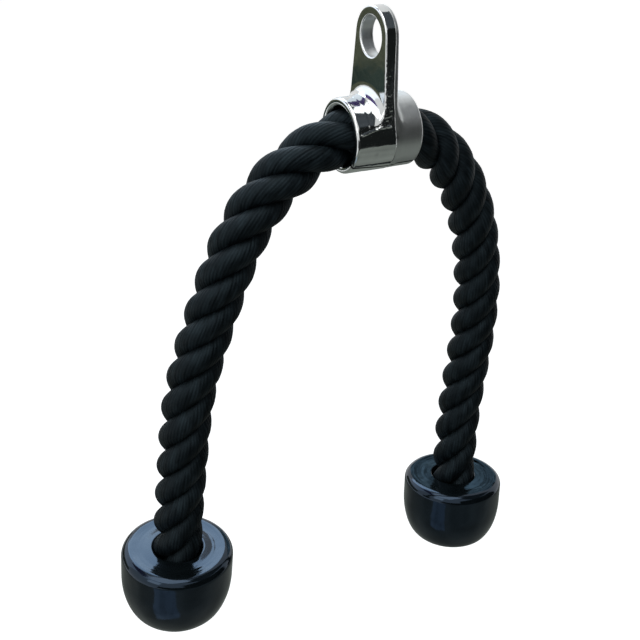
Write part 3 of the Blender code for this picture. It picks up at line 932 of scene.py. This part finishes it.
def cap_profile():
    """The cap's section: lip, dished top, shoulder, side, bowl, and the recess and bore inside."""
    side_end = -(CAP_SHOULDER_ROUND + CAP_STRAIGHT_SIDE)
    bowl = (CAP_RADIUS - CAP_BASE_RADIUS, CAP_HEIGHT + side_end)
    lip_at = (CAP_BORE_RADIUS + CAP_LIP_ROUND, -CAP_LIP_ROUND)
    lip = arc(lip_at, CAP_LIP_ROUND, 180.0, 90.0, steps=6)
    shoulder_at = (CAP_RADIUS - CAP_SHOULDER_ROUND, -CAP_SHOULDER_ROUND)
    shoulder = arc(shoulder_at, CAP_SHOULDER_ROUND, 90.0, 0.0, steps=14)
    top = line(lip[-1], shoulder[0], steps=28)
    wide = shoulder[0][0] - lip[-1][0]
    dished = [(r, h - CAP_DISH * math.sin(math.pi * (r - lip[-1][0]) / wide)) for r, h in top]
    under = arc((CAP_BASE_RADIUS, side_end), bowl, 0.0, -90.0, steps=24)
    side = line(shoulder[-1], under[0], steps=8)
    recess_top = (RECESS_RADIUS, -CAP_WEB)
    bore_end = (CAP_BORE_RADIUS, -CAP_WEB)
    foot = (RECESS_RADIUS, -CAP_HEIGHT)
    recess = [foot] + line(foot, recess_top, steps=6) + [recess_top]
    bore = [bore_end] + line(bore_end, lip[0], steps=6)
    return lip + dished + shoulder + side + under + recess + bore


def spun_cap():
    """The cap's section spun round its axis, closed and facing outwards."""
    bm = bmesh.new()
    ring = [bm.verts.new((radius, 0.0, height)) for radius, height in cap_profile()]
    edges = [bm.edges.new(pair) for pair in zip(ring, ring[1:] + ring[:1])]
    turned = {"axis": UP, "angle": FULL_TURN, "steps": CAP_STEPS_ROUND, "use_merge": True}
    bmesh.ops.spin(bm, geom=ring + edges, **turned)
    bmesh.ops.recalc_face_normals(bm, faces=bm.faces)
    bm.normal_update()
    return bm


def clamped(value):
    return min(max(value, 0.0), 1.0)


def unsettle_cap(bm, seed):
    """Slow dents all over the outside and fine ripples round the flat top, which the gloss shows."""
    for vert in bm.verts:
        out = math.hypot(vert.co.x, vert.co.y)
        outside = clamped((out - RECESS_RADIUS) / CAP_WOBBLE_EASE)
        flat = clamped((vert.normal.z - CAP_FLAT_FROM) / CAP_FLAT_EASE) * outside
        wave = noise.noise(vert.co / CAP_WOBBLE_SIZE + seed)
        round_it = vert.co.xy / out * CAP_RIPPLE_TURN
        ripple = noise.noise(Vector((out / CAP_RIPPLE_WIDTH, *round_it)) + seed) * CAP_RIPPLE
        dent = (0.5 + 0.5 * wave) * CAP_WOBBLE * outside
        vert.co -= vert.normal * (dent + (CAP_RIPPLE + ripple) * flat)


def make_cap(side, leg, material):
    """A moulded cap, set on the leg's end along its axis."""
    bm = spun_cap()
    unsettle_cap(bm, Vector((leg.seat.x * CAP_SEED_SPREAD, *CAP_SEED)))
    mesh = mesh_of(bm, f"{side}_cap")
    turn = UP.rotation_difference(leg.up).to_matrix().to_4x4()
    mesh.transform(Matrix.Translation(leg.seat) @ turn)
    mesh.shade_smooth()
    mesh.set_sharp_from_angle(angle=CAP_SHARP_ANGLE)
    mesh.materials.append(material)
    cap = new_object(f"{side}_cap", mesh)
    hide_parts(f"{side}_end_cap")
    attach(cap, f"{side}_leg")
    return cap


# Materials


def new_material(name):
    """A material with an empty tree but for its output and one Principled shader."""
    material = bpy.data.materials.new(name)
    material.use_nodes = True
    nodes = Nodes(material.node_tree)
    shader = material.node_tree.nodes["Principled BSDF"]
    return material, nodes, shader


def black_rope_material():
    """Black rope: fibres along the yarns, yarns of different tone, and painted highlights on the yarn
    ridges in patches.
    """
    material, nodes, shader = new_material("black_rope")
    space = nodes.painted("yarn_space", "Vector")
    stretched = nodes.add("ShaderNodeMapping", {"Vector": space, "Scale": (1.0, 1.0, FIBRE_STRETCH)})
    fine = {"Vector": stretched.outputs[0], "Scale": FIBRE_SCALE, "Detail": 2.0}
    fibres = nodes.first("ShaderNodeTexNoise", fine)
    coarse = {"Vector": space, "Scale": PATCH_SCALE, "Detail": 3.0}
    patches = nodes.first("ShaderNodeTexNoise", coarse)
    # Painted highlight: the yarn ridges are made paler in patches, as glints of light on the crests
    glint_mask = nodes.swing(patches, GLINT_CONTRAST, GLINT_SHARE, clamp=True)
    ridge_glints = nodes.math("MULTIPLY", nodes.painted("yarn_ridge"), glint_mask)
    tone = nodes.math("MULTIPLY_ADD", ridge_glints, GLINT_TONE, LEAST_TONE)
    tone = nodes.swing(fibres, FIBRE_TONE, tone)
    tone = nodes.swing(patches, PATCH_TONE, tone)
    tone = nodes.swing(nodes.painted("yarn_chance"), YARN_TONE, tone, clamp=True)
    height = nodes.math("MULTIPLY", patches, PATCH_HEIGHT)
    height = nodes.math("MULTIPLY_ADD", fibres, FIBRE_HEIGHT, height)
    inputs = {
        "Base Color": nodes.ramp(tone, ROPE_DARK, ROPE_PALE),
        "Roughness": nodes.math("MULTIPLY_ADD", fibres, *ROPE_ROUGH),
        "Normal": nodes.bump(height, *ROPE_BUMP),
        "Specular IOR Level": ROPE_SPECULAR,
        "Specular Tint": (*ROPE_SHEEN, 1.0),
    }
    nodes.fill(shader, inputs)
    return material


def waviness_group():
    """Slow dents and fine pits, as heights and as a mask, for cast and moulded surfaces."""
    inputs = {"Wave size": 8.0 * MM, "Pit size": 0.6 * MM, "Pit share": 0.1}
    outputs = {"Height": "NodeSocketFloat", "Mask": "NodeSocketFloat"}
    nodes, given, result = open_group("surface waviness", "ShaderNodeTree", inputs, outputs)
    place = nodes.add("ShaderNodeTexCoord").outputs["Object"]
    wave_scale = nodes.math("DIVIDE", 1.0, given["Wave size"])
    pit_scale = nodes.math("DIVIDE", 1.0, given["Pit size"])
    wave = nodes.add("ShaderNodeTexNoise", {"Vector": place, "Scale": wave_scale, "Detail": 1.0})
    pits = nodes.add("ShaderNodeTexNoise", {"Vector": place, "Scale": pit_scale, "Detail": 2.0})
    mixed = nodes.math("MULTIPLY_ADD", pits.outputs[0], given["Pit share"], wave.outputs[0])
    nodes.feed(result["Height"], mixed)
    nodes.feed(result["Mask"], wave.outputs[0])
    return nodes.tree


def surface_waviness(nodes, group, wave_size, pit_size, pit_share):
    """The shared waviness at one finish's own sizes."""
    inputs = {"Wave size": wave_size, "Pit size": pit_size, "Pit share": pit_share}
    return nodes.add("ShaderNodeGroup", inputs, node_tree=group).outputs


def chrome_material(waviness):
    """Chrome plating: wavy, rougher where it is satin or as cast, and dark beside the split."""
    material, nodes, shader = new_material("chrome_casting")
    surface = surface_waviness(nodes, waviness, *CHROME_WAVES)
    lit = nodes.math("SUBTRACT", 1.0, nodes.painted("split_shade"))
    lit_waves = nodes.math("MULTIPLY", surface["Mask"], lit)
    rough = nodes.math("MULTIPLY_ADD", surface["Mask"], *CHROME_ROUGH)
    rough = nodes.math("MULTIPLY_ADD", nodes.painted("satin"), SATIN_ROUGH, rough)
    dull = [(CHROME_DULL_AT, CHROME_DULL)]
    inputs = {
        "Base Color": nodes.ramp(lit_waves, CHROME_SHADE, CHROME_BRIGHT, dull),
        "Roughness": nodes.math("MULTIPLY_ADD", nodes.painted("as_cast"), AS_CAST_ROUGH, rough),
        "Normal": nodes.bump(surface["Height"], *CHROME_BUMP),
        "Metallic": 1.0,
    }
    nodes.fill(shader, inputs)
    return material


def wavy_material(name, waviness, finish, even):
    """A material that varies only with its waviness; even holds what is the same all over it."""
    material, nodes, shader = new_material(name)
    surface = surface_waviness(nodes, waviness, *finish["waves"])
    inputs = {
        "Base Color": nodes.ramp(surface["Mask"], finish["dark"], finish["pale"]),
        "Roughness": nodes.math("MULTIPLY_ADD", surface["Mask"], *finish["rough"]),
        "Normal": nodes.bump(surface["Height"], *finish["bump"]),
    }
    nodes.fill(shader, inputs | even)
    return material


def dress_cad_node(name, material):
    """Gives a piece that stays as the CAD made it its finish."""
    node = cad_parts[name]
    for slot in node.material_slots:
        slot.material = material


# The studio


def seen_directly(nodes):
    """1 where the camera, a reflection or a see-through ray looks, 0 for light that falls on surfaces."""
    path = nodes.add("ShaderNodeLightPath").outputs
    seen = nodes.math("ADD", path["Is Camera Ray"], path["Is Glossy Ray"])
    return nodes.math("ADD", seen, path["Is Transmission Ray"], clamp=True)


def make_world():
    """White where it is seen, and a low even fill on the object."""
    world = bpy.data.worlds.new("studio")
    world.use_nodes = True
    bpy.context.scene.world = world
    nodes = Nodes(world.node_tree)
    background = world.node_tree.nodes["Background"]
    strength = nodes.math("MULTIPLY_ADD", seen_directly(nodes), 1.0 - FILL_LIGHT, FILL_LIGHT)
    nodes.feed(background.inputs["Strength"], strength)
    background.inputs["Color"].default_value = (*WHITE, 1.0)


def flat_sheet(name, half, place):
    """A square sheet, brought to its place by a matrix."""
    bm = bmesh.new()
    bmesh.ops.create_grid(bm, x_segments=1, y_segments=1, size=half)
    mesh = mesh_of(bm, name)
    mesh.transform(place)
    return new_object(name, mesh)


def make_floor():
    """Pale paper far below the object, which keeps its shadow."""
    floor = flat_sheet("floor", FLOOR_HALF, Matrix.Translation((0.0, 0.0, FLOOR_LEVEL)))
    material, nodes, shader = new_material("floor_paper")
    inputs = {
        "Base Color": (*FLOOR_GREY, 1.0),
        "Roughness": FLOOR_ROUGH,
        "Emission Color": (*WHITE, 1.0),
        "Emission Strength": nodes.math("MULTIPLY", seen_directly(nodes), FLOOR_GLOW),
    }
    nodes.fill(shader, inputs)
    floor.data.materials.append(material)


def turned_towards(at, towards, axis):
    """A matrix that stands at a place with one axis towards another."""
    aim = (Vector(towards) - Vector(at)).normalized()
    return Matrix.Translation(at) @ aim.to_track_quat(axis, "Y").to_matrix().to_4x4()


def add_card(name, at, towards, size, tone, patchy=0.0, grain=3.0):
    """A card that only the chrome and the gloss show: it lights nothing and casts no shadow."""
    place = turned_towards(at, towards, "Z") @ Matrix.Diagonal((*size, 1.0, 1.0))
    card = flat_sheet(name, 0.5, place)
    material, nodes, shader = new_material(name)
    where = nodes.add("ShaderNodeTexCoord").outputs["Object"]
    patches = nodes.first("ShaderNodeTexNoise", {"Vector": where, "Scale": grain, "Detail": 1.0})
    inputs = {
        "Base Color": (*BLACK, 1.0),
        "Specular IOR Level": 0.0,
        "Emission Color": (*tone, 1.0),
        "Emission Strength": nodes.swing(patches, patchy, 1.0),
    }
    nodes.fill(shader, inputs)
    card.data.materials.append(material)
    card.visible_camera = False
    card.visible_diffuse = False
    card.visible_shadow = False
    card.visible_transmission = False


def place_dark_cards():
    """The dark and coloured parts of the room: in front, above, below, and behind on the left."""
    middle = COLLAR_MIDDLE
    add_card("front_card", (0.75, -1.2, 0.05), middle, (2.8, 1.5), DARK_ROOM, 1.0)
    add_card("upper_card", (0.75, -0.45, 1.10), middle, (1.7, 1.1), DARK_CEILING, 1.5)
    add_card("lower_front_card", (-0.1, -1.3, -0.6), (0.0, 0.0, -0.15), (3.6, 1.0), DARK_FLOOR)
    add_card("lower_card", (0.3, -0.2, -0.74), (0.3, -0.2, 0.0), (2.6, 3.0), GREY_FLOOR, 1.2)
    add_card("back_left_card", (-0.80, 1.27, -0.18), middle, (1.6, 0.36), OLIVE, 4.0, 26.0)
    add_card("foot_card", (-0.79, 1.26, -0.47), middle, (1.6, 0.22), DEEP_GREEN, 1.4, 9.0)
    add_card("arch_card", (-0.64, 0.55, 0.94), middle, (1.1, 0.38), VIOLET, 4.0, 9.0)


def place_bright_cards():
    """The bright parts of the room, which whiten the casting and gleam on the caps."""
    middle = COLLAR_MIDDLE
    window_aim = (-0.03, 0.0, -0.31)
    cap_aim = (0.09, 0.0, -0.31)
    add_card("bright_card", (-0.66, 1.22, 0.66), middle, (1.5, 1.15), BRIGHT_WALL, 0.6, 4.0)
    add_card("left_bright_card", (-1.02, -0.26, 0.96), middle, (0.8, 0.5), BRIGHT_WINDOW, 0.6, 4.0)
    add_card("low_window_card", (-0.34, -0.22, -0.59), window_aim, (0.26, 0.24), SOFT_WINDOW, 1.5, 12.0)
    add_card("right_cap_card", (0.30, 0.27, -0.16), cap_aim, (0.34, 0.26), PALE_BLUE, 7.0, 28.0)


def area_light(name, at, towards, size, power, colour=WHITE):
    """A square softbox."""
    data = bpy.data.lights.new(name, "AREA")
    data.shape = "SQUARE"
    data.size = size
    data.energy = power
    data.color = colour
    new_object(name, data).matrix_world = turned_towards(at, towards, "-Z")


def light_studio():
    """A softbox above, a cool one behind the caps, and a weak one on the left."""
    area_light("top_softbox", (-0.35, -0.10, 1.10), OBJECT_MIDDLE, size=1.1, power=9.0)
    area_light("back_softbox", (0.18, 1.03, 0.71), LEGS_MIDDLE, size=0.7, power=6.0, colour=SKY)
    area_light("left_softbox", (-1.2, -0.5, 0.5), OBJECT_MIDDLE, size=0.6, power=2.5)


# The making


def declare_cord(leg):
    """Finds the leg's point at the neck's end and its points from there to the rope's end, and keeps none
    of them.
    """
    leg.point(NECK_LENGTH)
    leg.stretch(NECK_LENGTH, leg.end)


def make_legs(waviness):
    """The rope in the collar, and on each side the rope, its cap and the fittings in it."""
    rubber = wavy_material("gloss_rubber", waviness, RUBBER, {"Specular Tint": (*RUBBER_SHEEN, 1.0)})
    steel = wavy_material("plated_steel", waviness, STEEL, {"Metallic": 1.0})
    rope = black_rope_material()
    tree = laid_rope_tree()
    legs = {
        "left": Leg(-1.0, LEFT_ROUTE, LEFT_TURNS),
        "right": Leg(1.0, RIGHT_ROUTE, RIGHT_TURNS),
    }
    make_core_rope(legs, tree, rope)
    for side, leg in legs.items():
        neck, hanging = make_rope(side, leg, tree, rope)
        cap = make_cap(side, leg, rubber)
        dress_cad_node(f"{side}_cap_plug", rubber)
        dress_cad_node(f"{side}_cap_washer", steel)
        dress_cad_node(f"{side}_crimp_ferrule", steel)
        declare_cord(leg)


def main():
    bpy.context.scene.view_settings.view_transform = "Standard"
    place_camera()
    waviness = waviness_group()
    make_legs(waviness)
    make_casting(chrome_material(waviness))
    make_world()
    make_floor()
    place_dark_cards()
    place_bright_cards()
    light_studio()


main()
